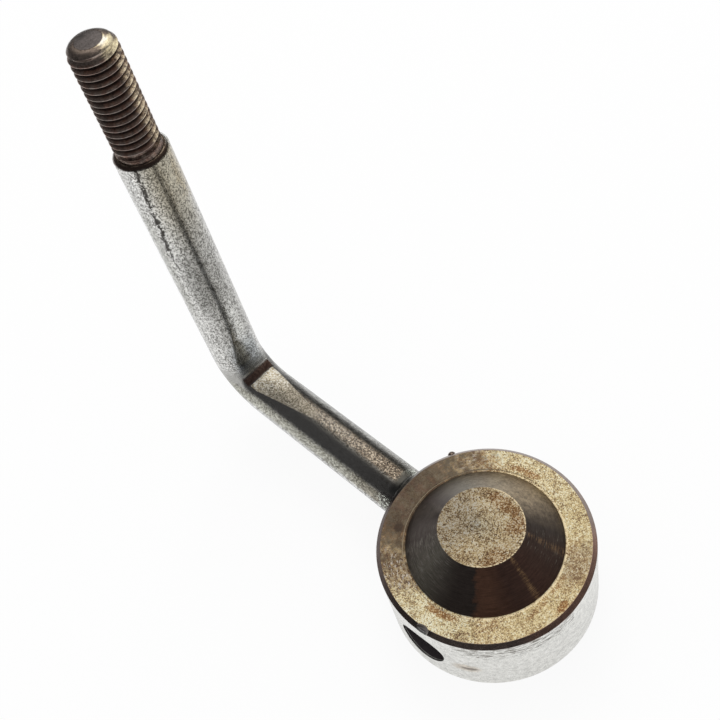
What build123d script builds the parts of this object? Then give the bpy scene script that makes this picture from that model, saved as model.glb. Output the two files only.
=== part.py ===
"""Crank handle: a turned hub with a square-bent round arm brazed into its side.

Frame: millimetres, +Z up along the hub's axis, origin on that axis in the plane of the hub's base.
The arm leaves the hub along +X and turns up square, parallel to the hub's axis, so that the
threaded stud at its end can carry a hand grip.  The cross hole faces +Y.
Nodes: hub (turned steel) and arm (bent steel bar with its stud, and the braze that holds it).
"""
import os
from math import radians, tan

from build123d import *

# Hub: a turned steel boss with a raised cone on its top face.
HUB_DIAMETER = 46.0
HUB_HEIGHT = 20.0
RIM_CHAMFER = 0.9
BASE_CHAMFER = 0.4
CONE_FOOT_DIAMETER = 33.7
CONE_TOP_DIAMETER = 18.0
CONE_HEIGHT = 6.9
FOOT_GROOVE_WIDTH = 0.5
FOOT_GROOVE_DEPTH = 0.15

# Shaft bore: blind, opening in the base and ended by the drill's point.
BORE_DIAMETER = 20.0
BORE_DEPTH = 17.0
BORE_CHAMFER = 0.5
DRILL_POINT_ANGLE = 118.0

# Cross hole: plain, square to the arm, from the hub's side into the bore.
CROSS_HOLE_DIAMETER = 11.0
CROSS_HOLE_HEIGHT = 9.8
CROSS_HOLE_ANGLE = 93.0

# Marks on the hub: a knock in the rim's chamfer, and a bead of spatter on the side near the arm.
KNOCK_ANGLE = 97.0
KNOCK_DIAMETER = 5.0
KNOCK_DEPTH = 0.5
BEAD_ANGLE = -31.0
BEAD_DIAMETER = 2.0
BEAD_STAND_OFF = 1.3
BEAD_DROP = 2.0

# Arm: one round bar, bent square and chamfered at the stud's shoulder.
ARM_DIAMETER = 11.8
ARM_HEIGHT = 12.75
CRANK_RADIUS = 80.0
BEND_RADIUS = 10.0
SHANK_LENGTH = 76.5
SHOULDER_CHAMFER = 0.7

# Stud: M10 x 1.5, drawn at the thread's outside diameter, with a tapered point.
STUD_DIAMETER = 9.9
STUD_LENGTH = 25.8
POINT_DIAMETER = 5.8
POINT_LENGTH = 2.4

# Joint: a spigot of the bar in a socket, and a fillet of braze round the socket's mouth.
SOCKET_DEPTH = 11.0
SOCKET_CLEARANCE = 0.05
BRAZE_FILLET = 1.2

# Inside of the bend, where the forming tool flattened the bar and left a square mark.
PRESS_DEPTH = 1.2
PRESS_RUN = 22.0
MARK_WIDTH = 2.35
MARK_DEPTH = 0.35
MARK_ANGLE = 54.0

HUB_RADIUS = HUB_DIAMETER / 2
ARM_RADIUS = ARM_DIAMETER / 2
SHOULDER_HEIGHT = ARM_HEIGHT + SHANK_LENGTH
SOCKET_FLOOR = HUB_RADIUS - SOCKET_DEPTH
CHAMFER_FOOT = HUB_HEIGHT - RIM_CHAMFER


def spin(*points):
    """Spins a closed outline of (radius, height) points about the Z axis."""
    outline = Polyline(*points, close=True)
    return revolve(make_face(Plane.XZ * outline), Axis.Z)


def bar_along_x(diameter, start, end):
    """A round bar on the arm's axis, from x = start to x = end."""
    plane = Plane(origin=(start, 0, ARM_HEIGHT), z_dir=(1, 0, 0))
    return extrude(plane * Circle(diameter / 2), end - start)


def hub_blank():
    """The turned boss: base, side, rim, flat ring, the cone's foot groove, cone and flat top."""
    foot = CONE_FOOT_DIAMETER / 2
    groove_floor = HUB_HEIGHT - FOOT_GROOVE_DEPTH
    return spin(
        (0, 0),
        (HUB_RADIUS - BASE_CHAMFER, 0),
        (HUB_RADIUS, BASE_CHAMFER),
        (HUB_RADIUS, CHAMFER_FOOT),
        (HUB_RADIUS - RIM_CHAMFER, HUB_HEIGHT),
        (foot + FOOT_GROOVE_WIDTH, HUB_HEIGHT),
        (foot + FOOT_GROOVE_WIDTH, groove_floor),
        (foot, groove_floor),
        (CONE_TOP_DIAMETER / 2, HUB_HEIGHT + CONE_HEIGHT),
        (0, HUB_HEIGHT + CONE_HEIGHT),
    )


def shaft_bore():
    """The blind bore: chamfered mouth, reamed wall and drill point."""
    wall = BORE_DIAMETER / 2
    point = wall / tan(radians(DRILL_POINT_ANGLE / 2))
    return spin(
        (0, 0),
        (wall + BORE_CHAMFER, 0),
        (wall, BORE_CHAMFER),
        (wall, BORE_DEPTH),
        (0, BORE_DEPTH + point),
    )


def cross_hole():
    """The plain hole through one side of the hub, from the bore outwards."""
    plane = Plane(origin=(0, 0, CROSS_HOLE_HEIGHT), z_dir=(1, 0, 0))
    hole = extrude(plane * Circle(CROSS_HOLE_DIAMETER / 2), HUB_DIAMETER)
    return Rot(0, 0, CROSS_HOLE_ANGLE) * hole


def rim_knock():
    """A round dent across the rim's chamfer, as deep as it is named below the chamfer's face."""
    centre = Pos(HUB_RADIUS - RIM_CHAMFER / 2, 0, HUB_HEIGHT - RIM_CHAMFER / 2)
    lift = Rot(0, -45, 0) * Pos(KNOCK_DIAMETER / 2 - KNOCK_DEPTH, 0, 0)
    return Rot(0, 0, KNOCK_ANGLE) * centre * lift * Sphere(KNOCK_DIAMETER / 2)


def spatter_bead():
    """A bead of braze spatter stuck to the hub's side, under the rim."""
    out = HUB_RADIUS + BEAD_STAND_OFF - BEAD_DIAMETER / 2
    return Rot(0, 0, BEAD_ANGLE) * Pos(out, 0, HUB_HEIGHT - BEAD_DROP) * Sphere(BEAD_DIAMETER / 2)


def make_hub():
    """The hub with its bore, cross hole, arm socket and marks."""
    socket = bar_along_x(ARM_DIAMETER + 2 * SOCKET_CLEARANCE, SOCKET_FLOOR, HUB_DIAMETER)
    return hub_blank() + spatter_bead() - shaft_bore() - cross_hole() - socket - rim_knock()


def bent_bar():
    """The round bar: from the socket's floor along +X, round the bend and up to the shoulder."""
    start = (SOCKET_FLOOR, 0, ARM_HEIGHT)
    corner = (CRANK_RADIUS, 0, ARM_HEIGHT)
    shoulder = (CRANK_RADIUS, 0, SHOULDER_HEIGHT)
    path = FilletPolyline(start, corner, shoulder, radius=BEND_RADIUS)
    section = Plane(origin=start, z_dir=(1, 0, 0)) * Circle(ARM_RADIUS)
    bar = sweep(section, path=path)
    shoulder_edge = bar.edges().sort_by(Axis.Z)[-1]
    return chamfer(shoulder_edge, SHOULDER_CHAMFER)


def brazed_root():
    """The bar just outside the hub with its fillet of braze, dressed level with the rim's chamfer."""
    boss = Cylinder(HUB_RADIUS, 2 * HUB_HEIGHT, align=(Align.CENTER, Align.CENTER, Align.MIN))
    bar = bar_along_x(ARM_DIAMETER, 0, HUB_RADIUS + 3 * BRAZE_FILLET)
    joint = boss + bar
    seam = new_edges(boss, bar, combined=joint)
    dressing = Pos(0, 0, CHAMFER_FOOT) * Box(
        2 * HUB_DIAMETER, HUB_DIAMETER, HUB_HEIGHT, align=(Align.CENTER, Align.CENTER, Align.MIN)
    )
    return fillet(seam, BRAZE_FILLET) - boss - dressing


def threaded_stud():
    """The stud at the thread's outside diameter, from the shoulder to its tapered point."""
    body = STUD_LENGTH - POINT_LENGTH
    stud = spin(
        (0, 0),
        (STUD_DIAMETER / 2, 0),
        (STUD_DIAMETER / 2, body),
        (POINT_DIAMETER / 2, STUD_LENGTH),
        (0, STUD_LENGTH),
    )
    return Pos(CRANK_RADIUS, 0, SHOULDER_HEIGHT) * stud


def pressed_corner():
    """The metal that the forming tool moved: two crowned flats, the nose between them and its mark.

    The nose is concentric with the bend.  Each flat leaves the bar's surface at a tangent, one
    run away from the bend, and is deepest where it meets the nose.
    """
    centre_x = CRANK_RADIUS - BEND_RADIUS
    centre_z = ARM_HEIGHT + BEND_RADIUS
    inside = BEND_RADIUS - ARM_RADIUS
    nose = inside + PRESS_DEPTH
    low_end = (centre_x - PRESS_RUN, centre_z - inside)
    high_end = (centre_x + inside, centre_z + PRESS_RUN)
    floor = TangentArc(low_end, (centre_x, centre_z - nose), tangent=(1, 0))
    corner = CenterArc((centre_x, centre_z), nose, 270, 90)
    wall = TangentArc(high_end, (centre_x + nose, centre_z), tangent=(0, -1))
    flats = make_face(floor + corner + wall + Line(high_end, low_end))
    mark_place = Pos(centre_x, centre_z) * Rot(0, 0, -MARK_ANGLE)
    mark = mark_place * Rectangle(nose + MARK_DEPTH, MARK_WIDTH, align=(Align.MIN, Align.CENTER))
    return extrude(Plane.XZ * (flats + mark), ARM_DIAMETER, both=True)


def make_arm():
    """The bent bar with its stud, braze and pressed corner, as one piece."""
    return bent_bar() + brazed_root() + threaded_stud() - pressed_corner()


os.makedirs("parts", exist_ok=True)
export_step(make_hub(), "parts/hub.step")
export_step(make_arm(), "parts/arm.step")
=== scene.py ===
# %% [markdown]
# # A crank handle, finished in Blender
# The solids of this crank handle come from the CAD: a turned hub, and a round steel arm that is bent
# square and ends in a threaded stud. This file gives them their surface: bright worn steel, a dark
# turned cone, rust that bloomed on the faces that lie open, and the thread itself, which the solids
# only show as a plain stud.

from math import cos, pi, radians, sqrt

import bmesh
import bpy
from mathutils import Matrix, Vector


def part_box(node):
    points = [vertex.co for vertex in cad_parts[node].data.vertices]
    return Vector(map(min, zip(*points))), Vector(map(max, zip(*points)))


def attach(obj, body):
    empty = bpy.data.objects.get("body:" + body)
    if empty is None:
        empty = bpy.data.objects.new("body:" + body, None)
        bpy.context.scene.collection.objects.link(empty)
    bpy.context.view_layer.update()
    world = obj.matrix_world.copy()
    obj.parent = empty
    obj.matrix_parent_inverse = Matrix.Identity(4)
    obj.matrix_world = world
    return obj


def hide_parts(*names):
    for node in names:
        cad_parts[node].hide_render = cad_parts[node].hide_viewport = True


MM = 0.001
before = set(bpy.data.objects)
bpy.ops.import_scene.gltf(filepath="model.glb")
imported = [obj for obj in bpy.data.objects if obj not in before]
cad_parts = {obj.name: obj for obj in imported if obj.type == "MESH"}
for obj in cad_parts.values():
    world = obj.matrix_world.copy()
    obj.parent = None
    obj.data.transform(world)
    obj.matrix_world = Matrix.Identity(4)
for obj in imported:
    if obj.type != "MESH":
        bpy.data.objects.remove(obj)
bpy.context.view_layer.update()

# %% [markdown]
# ## Helpers for shader trees
# A material is a tree of small nodes. These helpers add one node at a time and join it to the others,
# so that each material further down reads as a list of what happens on the metal.

# %% Place a node, and the three used most
def place(tree, kind, inputs=None, **settings):
    """Adds a shader node, sets its options, then sets or joins its inputs."""
    node = tree.nodes.new("ShaderNode" + kind)
    for name, value in settings.items():
        setattr(node, name, value)
    for name, value in (inputs or {}).items():
        if isinstance(value, bpy.types.NodeSocket):
            tree.links.new(value, node.inputs[name])
        else:
            node.inputs[name].default_value = value
    return node


def calc(tree, operation, *values):
    """One sum on one or two numbers."""
    return place(tree, "Math", dict(enumerate(values)), operation=operation).outputs[0]


def ease(tree, value, start, end):
    """Goes smoothly from 0 at start to 1 at end."""
    inputs = {"Value": value, "From Min": start, "From Max": end}
    return place(tree, "MapRange", inputs, interpolation_type="SMOOTHSTEP").outputs[0]


def paint(tree, under, over, mask, how="MIX"):
    """Lays the colour over on the colour under where the mask is 1."""
    inputs = {0: mask, 6: under, 7: over}
    return place(tree, "Mix", inputs, data_type="RGBA", blend_type=how).outputs[2]


def ramp(tree, value, stops):
    """Turns a value into a colour, through the colours at the given stops."""
    node = place(tree, "ValToRGB", {0: value})
    points = node.color_ramp.elements
    while len(points) < len(stops):
        points.new(1.0)
    for point, (position, rgb) in zip(points, stops):
        point.position = position
        point.color = (*rgb, 1)
    return node.outputs[0]


print("helpers ready")

# %% Helpers for masks
def times(tree, first, *others):
    """Masks and numbers, multiplied together."""
    for other in others:
        first = calc(tree, "MULTIPLY", first, other)
    return first


def sway(tree, value, strength, middle):
    """Moves a value that lies round one half to another middle, and scales how far it strays."""
    return calc(tree, "MULTIPLY_ADD", calc(tree, "SUBTRACT", value, 0.5), strength, middle)


def span(tree, across, up):
    """The distance that two sides of a right angle span."""
    square = calc(tree, "ADD", calc(tree, "MULTIPLY", across, across), calc(tree, "MULTIPLY", up, up))
    return calc(tree, "SQRT", square)


def close_to(tree, value, middle, full, none):
    """Is 1 where the value is within full of the middle, and fades to 0 at none."""
    away = calc(tree, "ABSOLUTE", calc(tree, "SUBTRACT", value, middle))
    return ease(tree, away, none, full)


def facing(tree, turn, middle, start, end):
    """Is 1 on the side that the middle turn looks to; start and end are cosines."""
    return ease(tree, calc(tree, "COSINE", calc(tree, "SUBTRACT", turn, middle)), start, end)


print("mask helpers ready")

# %% Helpers for patterns
def mottle(tree, vector, scale, detail, roughness=0.5):
    """Soft random clouds, from 0 to 1."""
    inputs = {"Vector": vector, "Scale": scale, "Detail": detail, "Roughness": roughness}
    return place(tree, "TexNoise", inputs).outputs[0]


def combine(tree, x, y, z=0.0):
    """Three numbers as one place, so that a pattern can be stretched or bent."""
    return place(tree, "CombineXYZ", {0: x, 1: y, 2: z}).outputs[0]


print("pattern helpers ready")

# %% Start a group or a material
def start_group(name, inputs, outputs):
    """A shader node group with named inputs and outputs."""
    tree = bpy.data.node_groups.new(name, "ShaderNodeTree")
    for title, value in inputs.items():
        kind = "NodeSocketVector" if isinstance(value, tuple) else "NodeSocketFloat"
        socket = tree.interface.new_socket(title, in_out="INPUT", socket_type=kind)
        socket.default_value = value
    for title in outputs:
        tree.interface.new_socket(title, in_out="OUTPUT", socket_type="NodeSocketFloat")
    return tree, tree.nodes.new("NodeGroupInput").outputs, tree.nodes.new("NodeGroupOutput").inputs


def use(tree, group, inputs):
    """Places a group in a tree and returns its outputs."""
    node = tree.nodes.new("ShaderNodeGroup")
    node.node_tree = group
    for name, value in inputs.items():
        if isinstance(value, bpy.types.NodeSocket):
            tree.links.new(value, node.inputs[name])
        else:
            node.inputs[name].default_value = value
    return node.outputs


def start_metal(name):
    """A metal material, its shader, and its place in millimetres."""
    material = bpy.data.materials.new(name)
    material.use_nodes = True
    tree = material.node_tree
    shader = tree.nodes["Principled BSDF"]
    shader.inputs["Metallic"].default_value = 1
    coordinates = place(tree, "TexCoord").outputs["Object"]
    spot = place(tree, "VectorMath", {0: coordinates, "Scale": 1 / MM}, operation="SCALE").outputs[0]
    return material, tree, shader, spot


print("groups and materials can be started")

# %% [markdown]
# ## Effects that several finishes share
# Old steel shows the same few things everywhere: grain, specks, rust in ragged patches, and the fine
# lines of the lathe. Each is a group that puts out a mask or a value, so a finish can use it with its
# own size and strength.

# %% Grain: light and dark at two sizes
grain, given, result = start_group(
    "grain", {"Place": (0.0, 0.0, 0.0), "Size": 0.4, "Contrast": 1.0}, ["Value"]
)
fine = calc(grain, "DIVIDE", 1.0, given["Size"])
coarse = calc(grain, "DIVIDE", fine, 3.7)
fine_noise = mottle(grain, given["Place"], fine, 2.0)
coarse_noise = mottle(grain, given["Place"], coarse, 3.0)
both = calc(grain, "ADD", fine_noise, coarse_noise)
centred = calc(grain, "SUBTRACT", both, 1.0)
grain.links.new(times(grain, centred, given["Contrast"]), result["Value"])
print("group", grain.name)

# %% Specks: small marks, the more the higher the share
specks, given, result = start_group(
    "specks", {"Place": (0.0, 0.0, 0.0), "Size": 0.3, "Share": 0.2, "Edge": 0.06}, ["Mask"]
)
scale = calc(specks, "DIVIDE", 1.0, given["Size"])
noise = mottle(specks, given["Place"], scale, 2.0)
level = calc(specks, "SUBTRACT", 0.74, times(specks, given["Share"], 0.48))
top = calc(specks, "ADD", level, given["Edge"])
specks.links.new(ease(specks, noise, level, top), result["Mask"])
print("group", specks.name)

# %% Weather: grains, spots and clouds added up round one half
weather_inputs = {"Place": (0.0, 0.0, 0.0), "Size": 0.22, "Grains": 1.0, "Spots": 0.7, "Clouds": 0.4}
weather, given, result = start_group("weather", weather_inputs, ["Value"])
scale = calc(weather, "DIVIDE", 0.8, given["Size"])
cells = place(weather, "TexVoronoi", {"Vector": given["Place"], "Scale": scale}).outputs["Color"]
value = sway(weather, cells, times(weather, given["Grains"], 0.28), 0.5)
for title, wider, share in (("Grains", 1.0, 0.55), ("Spots", 4.0, 1.0), ("Clouds", 15.0, 1.0)):
    scale = calc(weather, "DIVIDE", 1.0 / wider, given["Size"])
    noise = mottle(weather, given["Place"], scale, 3.0, 0.6)
    strength = times(weather, given[title], share)
    value = sway(weather, noise, strength, value)
weather.links.new(value, result["Value"])
print("group", weather.name)

# %% Patch: one ragged spot at a place, with its own reach along each axis
patch_inputs = {"Place": (0.0, 0.0, 0.0), "Centre": (0.0, 0.0, 0.0), "Reach": (1.0, 1.0, 1.0), "Rag": 0.4}
patch, given, result = start_group("patch", patch_inputs, ["Mask"])
from_centre = {0: given["Place"], 1: given["Centre"]}
offset = place(patch, "VectorMath", from_centre, operation="SUBTRACT").outputs[0]
share = place(patch, "VectorMath", {0: offset, 1: given["Reach"]}, operation="DIVIDE").outputs[0]
away = place(patch, "VectorMath", {0: share}, operation="LENGTH").outputs["Value"]
noise = mottle(patch, given["Place"], 0.8, 4.0)
ragged = sway(patch, noise, times(patch, given["Rag"], 4.0), away)
patch.links.new(ease(patch, ragged, 1.25, 0.6), result["Mask"])
print("group", patch.name)

# %% Lathe: fine rings round the Z axis
lathe, given, result = start_group("lathe", {"Place": (0.0, 0.0, 0.0), "Pitch": 0.12}, ["Value"])
xyz = place(lathe, "SeparateXYZ", {0: given["Place"]}).outputs
along = calc(lathe, "SUBTRACT", span(lathe, xyz[0], xyz[1]), xyz[2])
turn = calc(lathe, "ARCTAN2", xyz[1], xyz[0])
track = combine(lathe, calc(lathe, "DIVIDE", along, given["Pitch"]), times(lathe, turn, 4.0))
rings = mottle(lathe, track, 1.0, 3.0)
lathe.links.new(calc(lathe, "SUBTRACT", rings, 0.5), result["Value"])
print("group", lathe.name)


# %% The two groups that are placed most
def patch_at(tree, place_mm, centre, reach, rag):
    """The mask of one ragged patch."""
    inputs = {"Place": place_mm, "Centre": centre, "Reach": reach, "Rag": rag}
    return use(tree, patch, inputs)["Mask"]


def weathered(tree, place_mm, size, grains, spots, clouds):
    """Weather at a size in mm, with this much of each of its three parts."""
    inputs = {"Place": place_mm, "Size": size, "Grains": grains, "Spots": spots, "Clouds": clouds}
    return use(tree, weather, inputs)["Value"]


print("patches and weather can be placed")

# %% [markdown]
# ## The hub's finish
# The hub was turned, used and then left to rust. Its side was wiped bright by hands, the ring and the
# small disc on top went tan under a bloom of rust, the cone is dark brown oxide with its lathe lines, and
# the braze's heat left smooth brown metal next to the arm. Painted reflections lie in zones round the
# cone, two painted highlight streaks run down it, painted highlights mark the far edges of the groove and
# the disc, painted light lifts the groove's wall by the arm, and the walls inside the holes are painted
# shade. The zones follow from a point's distance to the hub's axis and its height, so the edges between
# them fall exactly on the edges of the solid.

# %% Sizes of the hub, in mm
hub_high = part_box("hub")[1]
SIDE = round(hub_high.y / MM, 2)
TOP = hub_high.z / MM
RING = 20.0
CHAMFER = 0.9
CONE_FOOT = 16.85
GROOVE = 17.35
CONE_TOP = 9.0
BORE = 10.0
print("hub radius", SIDE, "top", round(TOP, 2))

# %% Zones of the hub
hub_finish, tree, shader, spot = start_metal("hub steel")
xyz = place(tree, "SeparateXYZ", {0: spot}).outputs
radius = span(tree, xyz[0], xyz[1])
height = xyz[2]
turn = calc(tree, "ARCTAN2", xyz[1], xyz[0])
round_share = calc(tree, "MULTIPLY_ADD", turn, 0.5 / pi, 0.5)

on_top = ease(tree, height, RING - 0.30, RING - 0.20)
on_disc = ease(tree, height, TOP - 0.1, TOP - 0.05)
below_disc = ease(tree, height, TOP - 0.02, TOP - 0.07)
on_cone = times(tree, ease(tree, height, RING - 0.02, RING + 0.06), below_disc)
on_groove = times(tree, ease(tree, height, RING - 0.02, RING - 0.05), on_top)
on_groove = times(tree, ease(tree, radius, GROOVE + 0.12, GROOVE + 0.02), on_groove)
corner = calc(tree, "ADD", radius, height)
on_chamfer = ease(tree, corner, SIDE + RING - CHAMFER - 0.10, SIDE + RING - CHAMFER - 0.04)
print("zones outside made")

# %% The hollow inside: the walls of the holes, up to the end of the bore
within_side = ease(tree, radius, SIDE - 0.3, SIDE - 0.5)
within_height = times(tree, ease(tree, height, RING - 0.5, RING - 1.0), ease(tree, height, 0.02, 0.1))
within_bore = ease(tree, radius, BORE + 0.3, BORE + 0.1)
bore_end = times(tree, within_bore, ease(tree, height, TOP - 2.2, TOP - 2.6))
inside = calc(tree, "MAXIMUM", times(tree, within_side, within_height), bore_end)
print("zone inside made")

# %% The tan faces, ring and disc: their colours, and where rust gathers
face_stops = [
    (0.15, (0.130, 0.070, 0.035)),
    (0.30, (0.340, 0.230, 0.120)),
    (0.40, (0.540, 0.400, 0.195)),
    (0.50, (0.760, 0.610, 0.305)),
    (0.62, (0.930, 0.800, 0.470)),
    (0.80, (1.000, 0.990, 0.800)),
]
rust_places = [
    # centre x, y, z, reach x, y, strength
    ((-11.5, 13.0, RING), (3.0, 3.0), 0.05),
    ((-17.6, 2.0, RING), (0.7, 7.0), 0.09),
    ((-21.2, 1.0, RING), (0.8, 1.6), 0.22),
    ((-14.5, -10.5, RING), (2.0, 3.0), 0.07),
    ((11.0, -15.0, RING), (4.5, 2.5), 0.09),
    ((-18.6, -6.0, RING), (2.6, 5.5), 0.06),
    ((-6.8, 4.0, TOP), (2.2, 4.0), 0.12),
    ((-5.5, -4.8, TOP), (2.2, 2.6), 0.13),
    ((-0.5, -6.8, TOP), (4.5, 1.6), 0.14),
]
rust_arcs = [
    # turn, radius, strength
    (1.77, 18.0, 0.26),
    (-1.36, 18.5, 0.24),
]
amount = 0.0
for centre, reach, strength in rust_places:
    here = patch_at(tree, spot, centre, (*reach, 1.0), 0.3)
    amount = calc(tree, "MULTIPLY_ADD", here, strength, amount)
for arc_turn, arc_radius, strength in rust_arcs:
    across = close_to(tree, radius, arc_radius, 0.3, 1.1)
    here = times(tree, close_to(tree, turn, arc_turn, 0.078, 0.26), across)
    amount = calc(tree, "MULTIPLY_ADD", here, strength, amount)
print("rust gathers at", len(rust_places) + len(rust_arcs), "places")

# %% Their grain: mottled in two places, and smoother away from the arm
mottled = patch_at(tree, spot, (10.0, 16.6, RING), (6.0, 3.6, 1.0), 0.3)
mottled_too = patch_at(tree, spot, (14.0, -13.0, RING), (4.5, 3.6, 1.0), 0.3)
mottled = calc(tree, "MULTIPLY_ADD", mottled_too, 0.7, mottled)
spots_there = calc(tree, "MULTIPLY_ADD", mottled, 2.4, 0.5)
smooth_side = facing(tree, turn, -3.0, 0.2, 0.9)
smooth_side = times(tree, smooth_side, ease(tree, height, TOP - 0.2, TOP - 0.6))
grains_there = calc(tree, "MULTIPLY_ADD", smooth_side, -0.9, 2.7)
clouds_there = calc(tree, "MULTIPLY_ADD", smooth_side, -0.3, 0.8)
age = weathered(tree, spot, 0.18, grains_there, spots_there, clouds_there)
darker = calc(tree, "MULTIPLY_ADD", mottled, 0.07, times(tree, amount, 0.55))
age = calc(tree, "SUBTRACT", age, darker)
face = ramp(tree, age, face_stops)
mottled_tint = (0.60, 0.50, 0.42, 1)
face = paint(tree, face, mottled_tint, times(tree, mottled, 0.75), "MULTIPLY")
dulled = patch_at(tree, spot, (-17.6, -8.0, RING), (3.4, 5.5, 1.0), 0.3)
dull_tint = (0.78, 0.78, 0.86, 1)
face = paint(tree, face, dull_tint, dulled, "MULTIPLY")
print("tan faces grained")

# %% Flecks where the faces are mottled, and orange rust
fleck_place = combine(tree, times(tree, radius, 2.0), times(tree, turn, 11.0))
flecks = mottle(tree, fleck_place, 1.0, 5.0, 0.65)
fleck_pale = (0.90, 0.86, 0.78, 1)
face = paint(tree, face, fleck_pale, times(tree, ease(tree, flecks, 0.53, 0.63), mottled, 0.8))
fleck_dark = (0.22, 0.135, 0.075, 1)
face = paint(tree, face, fleck_dark, times(tree, ease(tree, flecks, 0.47, 0.37), mottled, 0.95))
orange = times(tree, ease(tree, amount, 0.0, 0.20), ease(tree, age, 0.72, 0.30))
rust_tint = (0.62, 0.36, 0.17, 1)
face = paint(tree, face, rust_tint, orange, "MULTIPLY")
rust_orange = (0.46, 0.24, 0.075, 1)
face = paint(tree, face, rust_orange, times(tree, orange, 0.35))
print("flecks and rust laid on")

# %% The disc is greyer, with a pale middle
disc_tint = (0.56, 0.52, 0.51, 1)
face = paint(tree, face, disc_tint, on_disc, "MULTIPLY")
greyer = times(tree, on_disc, facing(tree, turn, 0.35, 0.1, 0.95))
grey_tint = (0.72, 0.74, 0.81, 1)
face = paint(tree, face, grey_tint, greyer, "MULTIPLY")
middle = ease(tree, calc(tree, "MULTIPLY_ADD", age, 3.0, radius), 6.5, 1.5)
middle_tint = (0.88, 0.95, 1.06, 1)
face = paint(tree, face, middle_tint, times(tree, middle, on_disc), "MULTIPLY")
print("disc toned")

# %% Heat from the braze left smooth brown metal by the arm
heat_stops = [(0.25, (0.056, 0.031, 0.016)), (0.50, (0.082, 0.051, 0.028)), (0.75, (0.135, 0.095, 0.058))]
heat_grain = weathered(tree, spot, 0.22, 1.0, 1.0, 1.4)
heat_brown = ramp(tree, heat_grain, heat_stops)
from_arm = calc(tree, "ABSOLUTE", calc(tree, "SUBTRACT", turn, 0.10))
wander = mottle(tree, spot, 0.45, 6.0, 0.62)
wandering = sway(tree, wander, 1.6, from_arm)
ragged_edge = sway(tree, age, -0.6, wandering)
heated = ease(tree, ragged_edge, 1.10, 0.40)
heated = times(tree, heated, ease(tree, height, TOP - 0.2, TOP - 0.6))
face = paint(tree, face, heat_brown, times(tree, heated, 0.93))
redder = times(tree, ease(tree, wander, 0.46, 0.60), heated)
reddish_tint = (0.90, 0.76, 0.76, 1)
face = paint(tree, face, reddish_tint, redder, "MULTIPLY")
smudge = patch_at(tree, spot, (16.3, 9.0, RING), (1.15, 1.15, 1.0), 0.15)
smudge_brown = (0.036, 0.016, 0.007, 1)
face = paint(tree, face, smudge_brown, times(tree, smudge, 0.75))
print("heat tint at the arm's side")

# %% Painted highlights on the far edges of the groove and the disc, and painted light in the groove by the arm
rim_highlight_gold = (0.90, 0.76, 0.50, 1)
far_side = facing(tree, turn, -2.65, -0.30, 0.35)
disc_edge = times(tree, ease(tree, radius, CONE_TOP - 0.28, CONE_TOP - 0.12), on_disc)
inner_half = times(tree, on_groove, ease(tree, radius, CONE_FOOT + 0.36, CONE_FOOT + 0.22))
# Painted highlight: a thin gold line on the groove's inner half and the disc's edge, on the far side only
rim_highlight = times(tree, calc(tree, "ADD", inner_half, disc_edge), far_side, ease(tree, age, 0.20, 0.45))
face = paint(tree, face, rim_highlight_gold, times(tree, rim_highlight, 0.85))
arm_half = calc(tree, "SUBTRACT", 1.0, far_side)
near_arm = times(tree, on_groove, arm_half)
groove_tint = (0.80, 0.78, 0.77, 1)
face = paint(tree, face, groove_tint, near_arm, "MULTIPLY")
# Painted light: the groove's outer wall by the arm is coloured light tan, so that its shade reads less
# dark
outer_half = ease(tree, radius, GROOVE - 0.22, GROOVE - 0.12)
lit_groove_wall = times(tree, outer_half, ease(tree, radius, GROOVE + 0.05, GROOVE + 0.02), arm_half)
lit_groove_wall = times(tree, lit_groove_wall, ease(tree, height, RING - 0.002, RING - 0.02))
groove_painted_light = (0.36, 0.29, 0.20, 1)
face = paint(tree, face, groove_painted_light, lit_groove_wall)
print("edges worn")

# %% The cone: dark brown oxide with its lathe lines, and painted reflections in zones round it
# Painted reflections: dark sectors and tan and grey sheens round the cone; the brown and rust are oxide
dark_reflection = (0.11, 0.09, 0.08)
grey_sheen = (0.26, 0.24, 0.20)
tan_sheen = (0.38, 0.30, 0.20)
brown_steel = (0.17, 0.10, 0.08)
rusty_steel = (0.28, 0.15, 0.10)
cone_oxide_and_reflections = [
    # how far round the cone, and the colour there; the dark, tan and grey zones are painted reflections
    (0.00, brown_steel),
    (0.12, dark_reflection),
    (0.24, tan_sheen),
    (0.42, grey_sheen),
    (0.50, dark_reflection),
    (0.62, dark_reflection),
    (0.70, grey_sheen),
    (0.79, dark_reflection),
    (0.84, dark_reflection),
    (0.85, rusty_steel),
    (0.88, rusty_steel),
    (0.93, brown_steel),
]
wavering = mottle(tree, spot, 0.5, 5.0, 0.6)
sector = sway(tree, wavering, 0.05, round_share)
cone = ramp(tree, sector, cone_oxide_and_reflections)
beside_arm = close_to(tree, sector, 0.54, 0.0, 0.03)
paler_steel = (0.20, 0.17, 0.15, 1)
cone = paint(tree, cone, paler_steel, beside_arm)
rings = use(tree, lathe, {"Place": spot, "Pitch": 0.26})["Value"]
cone_grain = weathered(tree, spot, 0.25, 0.8, 0.8, 0.5)
pale = times(tree, ease(tree, round_share, 0.13, 0.20), ease(tree, round_share, 0.46, 0.38))
cone_light = sway(tree, cone_grain, calc(tree, "MULTIPLY_ADD", pale, 1.3, 0.5), 0.97)
cone_light = calc(tree, "MULTIPLY_ADD", rings, 1.1, cone_light)
print("cone coloured by", len(cone_oxide_and_reflections), "zones")

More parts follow.
